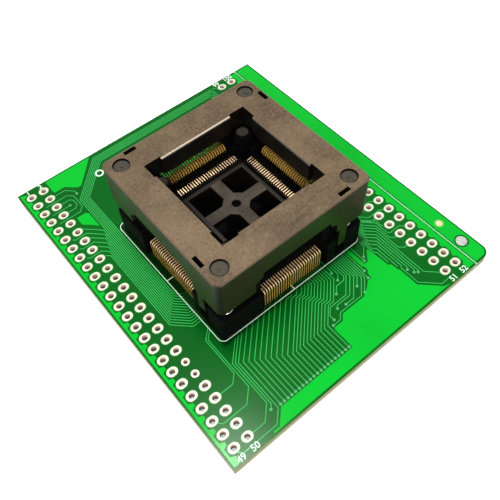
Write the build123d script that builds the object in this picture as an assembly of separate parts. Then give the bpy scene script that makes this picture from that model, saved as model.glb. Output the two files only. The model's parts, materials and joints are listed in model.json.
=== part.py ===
from build123d import *
import os
from math import cos, radians, sin, sqrt

# Programming socket adapter: a sprung open-top test socket for a flat package
# with four rows of leads, soldered on a board with two double rows of plated
# header holes and a break-off rail along one side.
# Millimetres, +Z up. The origin is the middle of the board's footprint, at the
# height of the lowest solder tail tips. The socket is drawn about its own
# centre with z = 0 at the top of the board, its front side first, and each
# side is a quarter turn of the front one.

# Board
board_length = 65.65
board_width = 52.68
board_thickness = 1.6
rail_width = 3.7
rail_corner_radius = 1.7
score_width = 0.3
score_depth = 0.45
tail_drop = 1.2

# Header holes and their plating
header_pitch = 2.54
header_rows = 25
header_span = 48.26
header_edge_x = 1.93
header_edge_y = 2.1
header_hole_radius = 0.5
plating = 0.05
pad_copper = 0.06
pad_length = 2.0
pad_width = 1.65
small_pad_rows = (18, 19)
small_pad_size = 1.35
small_hole_radius = 0.36
drill_clearance = 0.01

# Rail details
tooling_hole_radius = 1.0
tooling_edge_x = 1.98
tooling_edge_y = 4.7
fiducial_radius = 0.55
fiducial_spacing = 5.0
fiducial_thickness = 0.05

# Socket place, from the middle of the header holes
socket_shift_x = 0.37
socket_shift_y = -1.52

# Contacts
contact_pitch = 0.5
contacts_per_side = 25
contact_thickness = 0.2
strip_width = 0.45
tail_row_first = 7.7
tail_row_step = 1.8
tail_rows = 4
contact_inner = 7.3
contact_outer = 14.3
contact_low = 0.75
contact_foot = 0.1
contact_bend_radius = 0.6
lower_tip_width = 0.5
lower_tip_height = 8.15
outer_beam_height = 4.2
outer_beam_inner = 10.1
arm_gap = 0.1
arm_width = 0.42
arm_pivot_u = 10.4
arm_pivot_z = 4.6
arm_lift_degrees = 14.0

# Bends of an arm's middle line and of its lever's, out and up from the pivot
arm_bends = (
    (0, -0.25), (0.25, 0.6), (1.15, 1.75), (1.6, 3.0), (1.55, 3.95), (1.15, 4.5), (0.65, 4.35), (0.25, 3.5),
    (-0.25, 3.15), (-1.0, 3.3),
)
lever_root = (1.45, 3.65)
lever_tip = (2.8, 4.4)
arm_tip_length = 1.0
arm_tip_rise = 0.15

# Base
base_size = 30.0
base_corner_radius = 0.9
base_edge_chamfer = 0.25
base_block_height = 5.5
base_floor_thickness = 1.4
base_recess_half = 7.0
base_recess_edge = 13.8
locator_thickness = 0.6
locator_rim = 0.35
locator_clearance = 0.05
locator_hole_radius = 0.3
well_half = 7.0
well_wall = 0.2
comb_inner_height = 8.05
comb_outer_height = 8.9
comb_outer_start = 8.7
comb_outer_end = 10.2
comb_fin_height = 8.0
comb_fin_end = 12.9
comb_slot_width = 0.3
contact_end_clearance = 0.2
chamber_half = 6.9
end_wall_inner = 6.45
end_wall_outer = 10.7
end_wall_height = 9.6
end_wall_reach = 13.8
tower_clearance = 0.3
tower_gap = 0.25
tower_top = 13.0
tower_chamfer = 0.2
tower_corner_radius = 0.8

# Package and its seat
package_size = 14.0
seat_size = 13.0
seat_top = 8.5
seat_plate = 1.2
seat_wall = 0.6
seat_flange_height = 1.0
seat_flange_clearance = 0.05
seat_rim = 0.7
seat_bar_width = 2.1
seat_window_chamfer = 1.1
seat_hole_radius = 0.8

# Cover
cover_size = 30.4
cover_corner_radius = 1.3
cover_edge_radius = 0.45
cover_top = 16.7
cover_travel = 2.8
skirt_gap = 0.1
cover_wall = 1.0
cover_plate = 3.7
band_height = 4.5
window_half_low = 8.4
window_half_high = 6.9
window_step_height = 2.0
window_slope = 0.9
cover_post = 4.2
opening_size = 20.1
lip_reach = 0.55
lip_top_reach = 0.28
lip_length = 14.0
lip_chamfer = 0.45
pusher_width = 1.0
pusher_gap = 0.12
pusher_end_gap = 0.25
disc_radius = 1.45
disc_depth = 0.4
disc_step_radius = 1.2
disc_step_height = 0.14
disc_nub_radius = 0.32
disc_nub_height = 0.1

# Latch hooks of the cover, one a side
hook_place = 9.9
hook_width = 1.6
hook_leg = 0.48
hook_reach = 0.72
hook_height = 0.7
hook_clearance = 0.05
hook_side_clearance = 0.3
ledge_thickness = 0.85
ledge_gap = 0.1
slot_length = 2.2
slot_width = 0.75

# Springs
spring_offset = 12.63
spring_radius = 1.4
spring_wire_radius = 0.2
spring_turns = 8
spring_pocket_clearance = 0.2
spring_pocket_floor = 2.5
spring_pocket_roof = 14.2
spring_end_clearance = 0.03

# Solder
tail_pad_radius = 0.55
tail_hole_radius = 0.31
solder_radius = 0.5
solder_tip_radius = 0.24
solder_height = 0.8
solder_clearance = 0.01

# Places worked out from the sizes above
total_width = board_width + rail_width
board_bottom = tail_drop
board_top = tail_drop + board_thickness
left_edge = -total_width / 2
back_edge = board_length / 2
score_line = left_edge + board_width
header_left = left_edge + header_edge_x
header_back = back_edge - header_edge_y
header_depth = header_pitch * (header_rows - 1)
socket_x = header_left + header_span / 2 + socket_shift_x
socket_y = header_back - header_depth / 2 + socket_shift_y
floor_top = locator_thickness + base_floor_thickness
tail_low = -board_thickness - tail_drop
skirt_bottom = base_block_height + cover_travel + skirt_gap
cover_half = cover_size / 2
base_half = base_size / 2
opening_half = opening_size / 2
plate_under = cover_top - cover_plate
SIDES = ("front", "right", "back", "left")
CORNERS = {"front_right": (1, -1), "back_right": (1, 1), "back_left": (-1, 1), "front_left": (-1, -1)}
SIDE_PLANE = Plane(origin=(0, 0, 0), x_dir=(0, -1, 0), z_dir=(-1, 0, 0))
overshoot = 1.0  # how far a cut runs on past the face it opens


def block(x0, y0, z0, x1, y1, z1):
    """A box between two corners."""
    return Pos((x0 + x1) / 2, (y0 + y1) / 2, (z0 + z1) / 2) * Box(abs(x1 - x0), abs(y1 - y0), abs(z1 - z0))


def square_block(half, z0, z1):
    """A square box about the socket's centre."""
    return block(-half, -half, z0, half, half, z1)


def on_side(side, solid):
    """Turn a piece of the front side round to the named side."""
    return Rot(0, 0, 90 * SIDES.index(side)) * solid


def on_socket(solid):
    """Move a piece from the socket's own centre to its place on the board."""
    return Pos(socket_x, socket_y, board_top) * solid


def side_strip(points, half_length):
    """Extrude an outline given as (outward distance, height) along the front side."""
    outline = make_face(Polyline(*points, close=True))
    return extrude(SIDE_PLANE * outline, half_length, both=True)


def bar(u0, z0, u1, z1):
    """A flat rectangle in a contact's own plane."""
    return Pos((u0 + u1) / 2, (z0 + z1) / 2) * Rectangle(abs(u1 - u0), abs(z1 - z0))


def ribbon(points, width):
    """The outline of a strip of even width along a bent line, with mitred corners."""
    normals = []
    for (u0, z0), (u1, z1) in zip(points, points[1:]):
        length = sqrt((u1 - u0) ** 2 + (z1 - z0) ** 2)
        normals.append(((z0 - z1) / length, (u1 - u0) / length))
    left, right = [], []
    for index, (u, z) in enumerate(points):
        a = normals[max(index - 1, 0)]
        b = normals[min(index, len(normals) - 1)]
        scale = width / 2 / (1 + a[0] * b[0] + a[1] * b[1])
        du, dz = (a[0] + b[0]) * scale, (a[1] + b[1]) * scale
        left.append((u + du, z + dz))
        right.append((u - du, z - dz))
    return left + right[::-1]


def contact_places():
    """Each contact's distance along its side, with the index of its tail row."""
    middle = (contacts_per_side - 1) / 2
    return [((index - middle) * contact_pitch, index % tail_rows) for index in range(contacts_per_side)]


def tail_distance(row):
    return tail_row_first + row * tail_row_step


def tail_points():
    """The middle of each tail of the front side, in the socket's own frame."""
    return [(along, -tail_distance(row)) for along, row in contact_places()]


def header_points(column_x):
    return [(column_x, header_back - header_pitch * row) for row in range(header_rows)]


def header_columns():
    header_right = header_left + header_span
    return {
        "header_pads_left_outer": header_left,
        "header_pads_left_inner": header_left + header_pitch,
        "header_pads_right_inner": header_right - header_pitch,
        "header_pads_right_outer": header_right,
    }


def is_small(name, row):
    return name == "header_pads_left_inner" and row in small_pad_rows


def tooling_point():
    return total_width / 2 - tooling_edge_x, -back_edge + tooling_edge_y


# Circuit board

def header_drills():
    drills = []
    for name, column_x in header_columns().items():
        for row, (x, y) in enumerate(header_points(column_x)):
            hole = small_hole_radius if is_small(name, row) else header_hole_radius
            drills.append(Pos(x, y) * Circle(hole + plating + drill_clearance))
    return drills


def tail_drills():
    drill = Circle(tail_hole_radius + plating + drill_clearance)
    place = Pos(socket_x, socket_y)
    return [place * on_side(side, Pos(x, y) * drill) for side in SIDES for x, y in tail_points()]


def score_cut(height, direction):
    """A V groove along the whole break-off line, down from one face of the board."""
    groove = Polyline(
        (-score_width / 2, direction * drill_clearance),
        (score_width / 2, direction * drill_clearance),
        (0, -direction * score_depth),
        close=True,
    )
    return Pos(score_line, 0, height) * extrude(Plane.XZ * make_face(groove), board_length, both=True)


def circuit_board():
    outline = Rectangle(total_width, board_length)
    rail_corner = outline.vertices().sort_by(Axis.X)[-2:].sort_by(Axis.Y)[0]
    outline = fillet(rail_corner, rail_corner_radius)
    outline -= header_drills() + tail_drills() + [Pos(*tooling_point()) * Circle(tooling_hole_radius)]
    board = Pos(0, 0, board_bottom) * extrude(outline, board_thickness)
    return board - score_cut(board_top, 1) - score_cut(board_bottom, -1)


def eyelet(length, width, hole_radius):
    """A plated hole: a thin barrel with a copper pad on each face of the board."""
    pad = (SlotOverall(length, width) if length > width else Circle(width / 2)) - Circle(hole_radius)
    barrel = Circle(hole_radius + plating) - Circle(hole_radius)
    top = Pos(0, 0, board_top) * extrude(pad, pad_copper)
    bottom = Pos(0, 0, board_bottom - pad_copper) * extrude(pad, pad_copper)
    return Pos(0, 0, board_bottom) * extrude(barrel, board_thickness) + top + bottom


def header_pads(name):
    full = eyelet(pad_length, pad_width, header_hole_radius)
    small = eyelet(small_pad_size, small_pad_size, small_hole_radius)
    pads = []
    for row, (x, y) in enumerate(header_points(header_columns()[name])):
        pads.append(Pos(x, y, 0) * (small if is_small(name, row) else full))
    return Compound(pads)


def fiducial_dot():
    x, y = tooling_point()
    return Pos(x, y + fiducial_spacing, board_top) * extrude(Circle(fiducial_radius), fiducial_thickness)


# Socket base

def base_corner_blocks():
    middle, size = (well_half + base_half) / 2, base_half - well_half
    upright = Box(size, size, base_block_height - locator_thickness)
    height = (base_block_height + locator_thickness) / 2
    return [Pos(x * middle, y * middle, height) * upright for x, y in CORNERS.values()]


def base_comb():
    """The ribbed wall of the front side that keeps its contacts apart, uncut."""
    row = chamber_half
    front, back = -comb_outer_end, -comb_outer_start
    inner = block(-row, back, floor_top, row, -well_half, comb_inner_height)
    outer = block(-row, front, floor_top, row, back, comb_outer_height)
    fins = block(-row, -comb_fin_end, floor_top, row, front, comb_fin_height)
    front = -end_wall_reach
    ends = [
        block(x * end_wall_inner, front, floor_top, x * end_wall_outer, back, end_wall_height)
        for x in (-1, 1)
    ]
    return inner + outer + fins + ends


def comb_slots():
    """The slots of the front side, one for each contact, through the floor and the comb."""
    outer = contact_outer + contact_end_clearance
    inner = well_half + well_wall
    half = comb_slot_width / 2
    slot = block(-half, -outer, -overshoot, half, -inner, comb_outer_height + overshoot)
    return [Pos(along, 0, 0) * slot for along, row in contact_places()]


def contact_recess(clearance, height):
    """The notch in the front edge of the floor, where the contacts stand in the open."""
    half, edge = base_recess_half + clearance, base_recess_edge - clearance
    return block(-half, -base_half - overshoot, -overshoot, half, -edge, height)


def tower(corner_x, corner_y):
    """A corner post that leads the package down to its seat and guides the cover."""
    near = package_size / 2 + tower_clearance
    far = opening_half - tower_gap
    post = block(corner_x * near, corner_y * near, floor_top, corner_x * far, corner_y * far, tower_top)
    upright = post.edges().filter_by(Axis.Z).sort_by_distance((0, 0, 0))
    post = fillet(upright[1:], tower_corner_radius)
    return chamfer(post.edges().group_by(Axis.Z)[-1], tower_chamfer)


def hook_recess():
    """The channel in the front face that the cover's hook slides in, under its ledge."""
    half = hook_width / 2 + hook_side_clearance
    catch_back = cover_half - hook_leg - hook_reach - hook_side_clearance
    ledge_edge = cover_half - hook_leg - ledge_gap
    ledge_under = base_block_height - ledge_thickness
    low = floor_top - base_floor_thickness + hook_side_clearance
    front, top = -base_half - overshoot, base_block_height + overshoot
    lower = block(hook_place - half, front, low, hook_place + half, -catch_back, ledge_under)
    upper = block(hook_place - half, front, low, hook_place + half, -ledge_edge, top)
    return lower + upper


def spring_pocket(z0, z1):
    radius = spring_radius + spring_pocket_clearance
    drill = Pos(0, 0, (z0 + z1) / 2) * Cylinder(radius, z1 - z0)
    return [Pos(x * spring_offset, y * spring_offset, 0) * drill for x, y in CORNERS.values()]


def socket_base():
    body = square_block(base_half, 0, floor_top)
    for piece in base_corner_blocks():
        body += piece
    rim = base_half - base_corner_radius
    upright = body.edges().filter_by(Axis.Z)
    corners = [edge for edge in upright if min(abs(edge.center().X), abs(edge.center().Y)) > rim]
    body = fillet(corners, base_corner_radius)
    top_edges = body.faces().filter_by(Axis.Z).group_by(Axis.Z)[-1].edges()
    outer_top = [edge for edge in top_edges if max(abs(edge.center().X), abs(edge.center().Y)) > rim]
    body = chamfer(outer_top, base_edge_chamfer)
    body -= square_block(base_half - locator_rim, -overshoot, locator_thickness)
    body -= [on_side(side, contact_recess(0, floor_top + overshoot)) for side in SIDES]
    for side in SIDES:
        body += on_side(side, base_comb())
    for corner_x, corner_y in CORNERS.values():
        body += tower(corner_x, corner_y)
    cuts = [on_side(side, slot) for side in SIDES for slot in comb_slots()]
    cuts += [on_side(side, hook_recess()) for side in SIDES]
    cuts += spring_pocket(spring_pocket_floor, base_block_height + overshoot)
    cuts.append(Pos(0, 0, floor_top) * Cylinder(seat_hole_radius, 2 * floor_top))
    return body - cuts


def tail_locator_plate():
    """The thin plate under the base that holds the tails at their holes' pitch."""
    side = base_size - 2 * (locator_rim + locator_clearance)
    outline = Rectangle(side, side)
    hole = Circle(locator_hole_radius)
    outline -= [on_side(name, Pos(x, y) * hole) for name in SIDES for x, y in tail_points()]
    outline -= [Circle(seat_hole_radius)]
    plate = extrude(outline, locator_thickness)
    recess = contact_recess(locator_clearance, locator_thickness + overshoot)
    return plate - [on_side(name, recess) for name in SIDES]


def seat_windows():
    """The four openings of the seat, each with its inner corner cut off."""
    near = seat_bar_width / 2
    far = seat_size / 2 - seat_rim
    cut = near + seat_window_chamfer
    corners = ((cut, near), (far, near), (far, far), (near, far), (near, cut))
    outline = make_face(Polyline(*corners, close=True))
    return [Rot(0, 0, 90 * turn) * outline for turn in range(4)]


def package_seat():
    """The platform that the package's body rests on, on a square skirt down to the floor."""
    half = seat_size / 2
    plate = Rectangle(seat_size, seat_size) - seat_windows() - [Circle(seat_hole_radius)]
    top = Pos(0, 0, seat_top - seat_plate) * extrude(plate, seat_plate)
    skirt = square_block(half, floor_top, seat_top - seat_plate)
    foot = square_block(well_half - seat_flange_clearance, floor_top, floor_top + seat_flange_height)
    hollow = square_block(half - seat_wall, floor_top - overshoot, seat_top - seat_plate)
    return skirt + foot - hollow + top


# Contacts

def fixed_contact(row):
    """The still half of a stamped contact: tail, floor strip, lower tip and outer bend."""
    tail = tail_distance(row)
    low, high = contact_low, contact_low + strip_width
    shape = bar(contact_inner, low, contact_outer, high)
    shape += bar(contact_outer - strip_width, contact_foot, contact_outer, outer_beam_height)
    shape += bar(outer_beam_inner, outer_beam_height - strip_width, contact_outer, outer_beam_height)
    shape += bar(contact_inner, low, contact_inner + lower_tip_width, lower_tip_height)
    shape += bar(tail - strip_width / 2, tail_low, tail + strip_width / 2, high)
    bend = shape.vertices().sort_by_distance((contact_outer, outer_beam_height, 0))[0]
    shape = fillet(bend, contact_bend_radius)
    return extrude(SIDE_PLANE * shape, contact_thickness / 2, both=True)


def arm_line():
    """The bent line of a moving arm, from its pivot over the top and down to its tip."""
    tip_z = lower_tip_height + arm_gap + arm_width / 2
    tip = [(contact_inner + arm_tip_length, tip_z + arm_tip_rise), (contact_inner, tip_z)]
    return [from_pivot(bend) for bend in arm_bends] + tip


def from_pivot(bend):
    return arm_pivot_u + bend[0], arm_pivot_z + bend[1]


def contact_arm():
    """The moving half of a contact: the arm with its clamping tip and its lever."""
    arm = make_face(Polyline(*ribbon(arm_line(), arm_width), close=True))
    lever_line = (from_pivot(lever_root), from_pivot(lever_tip))
    lever = make_face(Polyline(*ribbon(lever_line, arm_width), close=True))
    return extrude(SIDE_PLANE * (arm + lever), contact_thickness / 2, both=True)


def fixed_contacts(side):
    kinds = [fixed_contact(row) for row in range(tail_rows)]
    return Compound([on_side(side, Pos(along, 0, 0) * kinds[row]) for along, row in contact_places()])


def contact_arms(side):
    arm = contact_arm()
    return Compound([on_side(side, Pos(along, 0, 0) * arm) for along, row in contact_places()])


# Cover

def pressed_lever_height():
    """How high the lever's top stands when the cover is down."""
    angle = radians(arm_lift_degrees)
    return arm_pivot_z - lever_tip[0] * sin(angle) + lever_tip[1] * cos(angle) + arm_width / 2


def cover_window():
    """The opening in the front wall of the cover's skirt, wider at its foot."""
    top = cover_top - band_height
    step = skirt_bottom + window_step_height
    foot = skirt_bottom - overshoot
    low, high = window_half_low, window_half_high
    outline = Polyline(
        (-low, foot), (-low, step), (-high, step + window_slope), (-high, top),
        (high, top), (high, step + window_slope), (low, step), (low, foot), close=True,
    )
    depth = cover_wall + overshoot
    return Pos(0, -cover_half - overshoot, 0) * extrude(Plane.XZ * make_face(outline), -depth)


def cover_lip():
    """The chamfered lip along the middle of the opening's front side."""
    edge = opening_half - lip_reach
    outline = (
        (opening_half + lip_reach, plate_under), (edge, plate_under), (edge, cover_top - lip_chamfer),
        (opening_half - lip_top_reach, cover_top), (opening_half + lip_reach, cover_top),
    )
    return side_strip(outline, lip_length / 2)


def cover_pusher():
    """The bar under the cover that bears on the contacts' levers when it is down."""
    low = pressed_lever_height() + pusher_gap + cover_travel
    half = end_wall_inner - pusher_end_gap
    outer = cover_half - cover_wall
    return block(-half, -outer, low, half, -outer + pusher_width, plate_under)


def cover_hook():
    """The latch hook under the front wall, with its catch turned inwards."""
    half = hook_width / 2
    top = base_block_height - ledge_thickness - hook_clearance
    low = top - hook_height
    front, back = -cover_half, -cover_half + hook_leg
    leg = block(hook_place - half, front, low, hook_place + half, back, skirt_bottom)
    inner = -cover_half + hook_leg + hook_reach
    catch = block(hook_place - half, -cover_half, low, hook_place + half, inner, top)
    return leg + catch


def cover_slot():
    """The slot through the cover above its hook."""
    half = slot_length / 2
    outer, inner = -cover_half + hook_leg, -cover_half + hook_leg + slot_width
    return block(hook_place - half, outer, 0, hook_place + half, inner, cover_top + overshoot)


def cover_discs():
    """The round recess over each spring, with a step and a nub left standing on its floor."""
    floor = cover_top - disc_depth
    recess = Pos(0, 0, cover_top - disc_depth / 2) * Cylinder(disc_radius, disc_depth)
    recess -= Pos(0, 0, floor + disc_step_height / 2) * Cylinder(disc_step_radius, disc_step_height)
    nub_top = disc_step_height + disc_nub_height
    recess -= Pos(0, 0, floor + nub_top / 2) * Cylinder(disc_nub_radius, nub_top)
    return [Pos(x * spring_offset, y * spring_offset, 0) * recess for x, y in CORNERS.values()]


def cover_hollow():
    """The space under the cover's plate: a cross between the four corner posts."""
    inner = cover_half - cover_wall
    post = cover_half - cover_post
    low = skirt_bottom - overshoot
    across = block(-inner, -post, low, inner, post, plate_under)
    return across + block(-post, -inner, low, post, inner, plate_under)


def socket_cover():
    body = square_block(cover_half, skirt_bottom, cover_top)
    body = fillet(body.edges().filter_by(Axis.Z), cover_corner_radius)
    body = fillet(body.faces().sort_by(Axis.Z)[-1].edges(), cover_edge_radius)
    body -= cover_hollow()
    body -= square_block(opening_half, 0, cover_top + overshoot)
    body -= [on_side(side, cover_window()) for side in SIDES]
    for side in SIDES:
        body += on_side(side, cover_lip())
        body += on_side(side, cover_pusher())
    body -= [on_side(side, cover_slot()) for side in SIDES]
    body = body - cover_discs() - spring_pocket(skirt_bottom - overshoot, spring_pocket_roof)
    for side in SIDES:
        body += on_side(side, cover_hook())
    return body


def cover_spring(corner):
    x, y = CORNERS[corner]
    middle = spring_radius - spring_wire_radius
    end = spring_wire_radius + spring_end_clearance
    height = spring_pocket_roof - spring_pocket_floor - 2 * end
    path = Helix(pitch=height / spring_turns, height=height, radius=middle)
    wire = Plane(origin=path @ 0, z_dir=path % 0) * Circle(spring_wire_radius)
    coil = sweep(wire, path=path)
    return Pos(x * spring_offset, y * spring_offset, spring_pocket_floor + end) * coil


# Solder side

def tail_pads(side):
    """The plated holes that the tails are soldered in, with a ring pad on the lower face."""
    barrel = Circle(tail_hole_radius + plating) - Circle(tail_hole_radius)
    ring = Circle(tail_pad_radius) - Circle(tail_hole_radius)
    pad = Pos(0, 0, -board_thickness) * extrude(barrel, board_thickness)
    pad += Pos(0, 0, -board_thickness - plating) * extrude(ring, plating)
    return Compound([on_side(side, Pos(x, y, 0) * pad) for x, y in tail_points()])


def solder_joints(side):
    """The cone of solder round each tail, under its pad."""
    top = -board_thickness - plating
    cone = Pos(0, 0, top - solder_height / 2) * Cone(solder_tip_radius, solder_radius, solder_height)
    width = contact_thickness + 2 * solder_clearance
    length = strip_width + 2 * solder_clearance
    low, high = top - solder_height - overshoot, top + overshoot
    joint = cone - block(-width / 2, -length / 2, low, width / 2, length / 2, high)
    return Compound([on_side(side, Pos(x, y, 0) * joint) for x, y in tail_points()])


def all_nodes():
    nodes = {"circuit_board": circuit_board(), "fiducial_dot": fiducial_dot()}
    for name in header_columns():
        nodes[name] = header_pads(name)
    nodes["socket_base"] = on_socket(socket_base())
    nodes["tail_locator_plate"] = on_socket(tail_locator_plate())
    nodes["package_seat"] = on_socket(package_seat())
    nodes["socket_cover"] = on_socket(socket_cover())
    for side in SIDES:
        nodes["fixed_contacts_" + side] = on_socket(fixed_contacts(side))
        nodes["contact_arms_" + side] = on_socket(contact_arms(side))
        nodes["tail_pads_" + side] = on_socket(tail_pads(side))
        nodes["solder_joints_" + side] = on_socket(solder_joints(side))
    for corner in CORNERS:
        nodes["cover_spring_" + corner] = on_socket(cover_spring(corner))
    return nodes


def main():
    os.makedirs("parts", exist_ok=True)
    for name, shape in all_nodes().items():
        export_step(shape, os.path.join("parts", name + ".step"))


main()
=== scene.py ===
import json
import math
import bpy
from bpy.props import FloatProperty, FloatVectorProperty, PointerProperty
from mathutils import Matrix, Vector

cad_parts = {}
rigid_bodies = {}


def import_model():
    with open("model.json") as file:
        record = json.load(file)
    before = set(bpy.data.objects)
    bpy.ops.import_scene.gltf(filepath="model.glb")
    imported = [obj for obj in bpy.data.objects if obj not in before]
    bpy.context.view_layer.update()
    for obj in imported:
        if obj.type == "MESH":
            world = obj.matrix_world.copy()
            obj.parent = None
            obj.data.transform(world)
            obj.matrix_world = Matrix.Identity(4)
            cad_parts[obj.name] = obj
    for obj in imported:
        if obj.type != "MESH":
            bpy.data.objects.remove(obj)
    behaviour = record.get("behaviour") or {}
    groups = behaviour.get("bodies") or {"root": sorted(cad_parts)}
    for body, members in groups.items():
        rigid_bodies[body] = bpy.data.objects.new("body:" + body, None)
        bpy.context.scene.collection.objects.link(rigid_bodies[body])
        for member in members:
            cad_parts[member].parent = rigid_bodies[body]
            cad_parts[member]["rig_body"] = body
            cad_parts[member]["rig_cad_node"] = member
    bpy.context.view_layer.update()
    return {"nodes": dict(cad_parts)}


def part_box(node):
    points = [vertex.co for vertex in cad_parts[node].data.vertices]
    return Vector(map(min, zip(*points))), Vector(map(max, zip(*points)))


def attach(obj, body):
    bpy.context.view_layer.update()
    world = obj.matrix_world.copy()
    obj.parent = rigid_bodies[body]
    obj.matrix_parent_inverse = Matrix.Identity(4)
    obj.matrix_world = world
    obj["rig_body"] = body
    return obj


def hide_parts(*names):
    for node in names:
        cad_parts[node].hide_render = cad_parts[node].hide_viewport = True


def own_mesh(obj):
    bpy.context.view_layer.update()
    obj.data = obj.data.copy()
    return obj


bl_info = {
    "name": "Programming Socket Adapter",
    "version": (1, 0, 0),
    "blender": (4, 5, 0),
    "location": "View3D > Sidebar > Adapter",
    "description": "Dresses a sprung test socket on its green adapter board",
    "category": "Object",
}

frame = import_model()

MM = 0.001
SIDES = ("front", "right", "back", "left")
CORNERS = ("front_right", "back_right", "back_left", "front_left")
ROOT = "adapter_board"

# Places taken from the solids, in millimetres
BOARD_LOW, BOARD_HIGH = ([value / MM for value in corner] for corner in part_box("circuit_board"))
COVER_LOW, COVER_HIGH = ([value / MM for value in corner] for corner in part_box("socket_cover"))
BOARD_BOTTOM = BOARD_LOW[2]
BOARD_TOP = BOARD_HIGH[2]
COVER_TOP = COVER_HIGH[2]
TOWER_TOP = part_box("socket_base")[1].z / MM
SEAT_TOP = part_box("package_seat")[1].z / MM
SOCKET_X = (COVER_LOW[0] + COVER_HIGH[0]) / 2
SOCKET_Y = (COVER_LOW[1] + COVER_HIGH[1]) / 2

# Where the socket's colours change, with its painted sheen, highlights and shade, in millimetres from its
# middle, and the size of a tower's grey top
SEAT_WINDOWS = 5.9
TOWER_AWAY = 8.5
TOWER_SPOT_RADIUS = 1.08
KNUCKLE_START = 9.4
KNUCKLE_END = KNUCKLE_START + 1.7
LIP_HALF = 11.0
COVER_HALF = 15.2
COVER_SHADE_HALF = 16.2

# Heights where the contacts' painted tones change
BEND_TOP = BOARD_TOP + 4.5
LEG_TOP = BOARD_TOP + 3.7

# Header grid and the break-off rail
HEADER_PITCH = 2.54
HALF_PITCH = HEADER_PITCH / 2
HEADER_ROWS = 25
HEADER_BACK = BOARD_HIGH[1] - 2.1
LEFT_OUTER = BOARD_LOW[0] + 1.93
LEFT_INNER = LEFT_OUTER + HEADER_PITCH
RIGHT_OUTER = LEFT_OUTER + 19 * HEADER_PITCH
RIGHT_INNER = RIGHT_OUTER - HEADER_PITCH
PAD_HALF_LENGTH = 1.0
PAD_END_RADIUS = 0.825
SCORE_X = BOARD_HIGH[0] - 3.7
SCORE_HALF = 0.2
RAIL_HOLE = (BOARD_HIGH[0] - 1.98, BOARD_LOW[1] + 4.7)
FIDUCIAL = (RAIL_HOLE[0], RAIL_HOLE[1] + 5.0)
FIDUCIAL_WINDOW = 0.84
CLEARANCES = ((RAIL_HOLE, 1.3), (FIDUCIAL, 0.82))

# Coated copper: how deep it reaches into the board, and the steps of a via's dome
SUNK = 0.01
VIA_RADIUS = 0.25
VIA_RISE = 0.045
VIA_SHOULDER = 0.05
VIA_CROWN = 0.015
VIA_RING = 0.1
VIA_DIP = 0.04

# Print: the socket's outline, a little off its own centre, the ring by pin one and the numbers
PRINT_X = SOCKET_X - 0.3
PRINT_Y = SOCKET_Y + 0.25
PRINT_HALF = 15.35
PRINT_CORNER = 1.1
TICK_LENGTH = 1.35
PRINT_LEVEL = BOARD_TOP + 0.02
PRINT_HEIGHT = 0.025
PIN_ONE = (-13.25, 27.5)
PIN_ONE_RADIUS = 0.72
PIN_ONE_LINE = 0.34
NUMBER_LEVEL = BOARD_TOP + 0.03
NUMBER_SCALE = 1.38
NUMBER_WEIGHT = 0.03
NUMBER_DEPTH = 0.008

# Where tracks vanish under the base
UNDER_BASE_HALF = 13.6
UNDER_BASE_FRONT = SOCKET_Y - UNDER_BASE_HALF
UNDER_BASE_BACK = SOCKET_Y + UNDER_BASE_HALF
UNDER_BASE_LEFT = SOCKET_X - UNDER_BASE_HALF

# Colours of small places, among them painted shade deep in the pads' holes and painted light on the tooling
# hole's wall
PAD_EDGE = (0.1, 0.33, 0.09)
HOLE_WALL = (0.75, 0.5, 0.38)
HOLE_MOUTH = (1.0, 0.95, 0.85)
HOLE_SHADE = (0.16, 0.09, 0.06)
RAIL_HOLE_PAINTED_LIGHT = (1.0, 1.0, 0.94)
WORN_INK = (0.45, 0.62, 0.45)
FIDUCIAL_TIN = (0.82, 0.74, 0.44)
SOLDER = (0.66, 0.67, 0.68)
WHITE = (1, 1, 1, 1)

# Distances in metres below which points of a mesh are merged
MERGE = 1e-7
MERGE_FACETS = 1e-6

# Table and lamps, in metres, with the table's own glow near the board and far from it
TABLE_SIZE = 2.4
TABLE_NEAR = 0.1
TABLE_FAR = 0.3
TABLE_GLOW_NEAR = 0.5
TABLE_GLOW_FAR = 0.8
KEY_LAMP = {"place": (0.005, 0.036, 0.36), "target": (0.005, 0.036, 0), "size": (0.055, 0.075)}
FILL_LAMP = {"place": (-0.17, -0.17, 0.25), "target": (0, 0, 0.005), "size": (0.16, 0.16)}

# Camera, in millimetres
CAMERA_EYE = (-37.534, -52.950, 90.845)
CAMERA_TARGET = (-2.69, -5.42, BOARD_TOP)
SENSOR_WIDTH = 36
CLIP_START = 5


def mm(x, y, z):
    return Vector((x, y, z)) * MM


def pick_colour(name, description, *channels):
    """A colour that a user may set, with the three channels of its default."""
    return FloatVectorProperty(name=name, description=description, subtype="COLOR", default=channels,
                               min=0.0, max=1.0)


def pick_length(name, description, default):
    """A length that a user may set, with its default in millimetres."""
    return FloatProperty(name=name, description=description, unit="LENGTH", default=default * MM, min=0.0)


class AdapterBoardSettings(bpy.types.PropertyGroup):
    """Sizes and colours of the board's coating, tracks and print."""

    mask_colour: pick_colour("Mask", "Solder mask over bare laminate", 0.0, 0.098, 0.007)
    pour_colour: pick_colour("Pour", "Solder mask over broad copper", 0.0, 0.56, 0.03)
    track_colour: pick_colour("Track", "Solder mask over a narrow track", 0.04, 0.44, 0.09)
    ink_colour: pick_colour("Ink", "Printed lines and numerals", 0.74, 1.0, 0.78)
    laminate_colour: pick_colour("Laminate", "Sawn edge of the glass laminate", 0.42, 0.42, 0.2)
    bare_colour: pick_colour("Bare laminate", "Laminate in the window about the fiducial", 0.3, 0.58, 0.14)
    via_colour: pick_colour("Vias", "Thin solder mask over the ring of a via", 0.12, 0.5, 0.2)
    score_colour: pick_colour("Score", "Scored break-off line", 0.36, 0.86, 0.46)
    track_width: pick_length("Track width", "Width of a narrow track", 0.14)
    copper_height: pick_length("Copper height", "How far coated copper stands up from the board", 0.03)
    ink_width: pick_length("Ink line", "Width of a printed line", 0.155)
    numeral_height: pick_length("Numerals", "Height of the printed pin numbers", 1.05)


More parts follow.
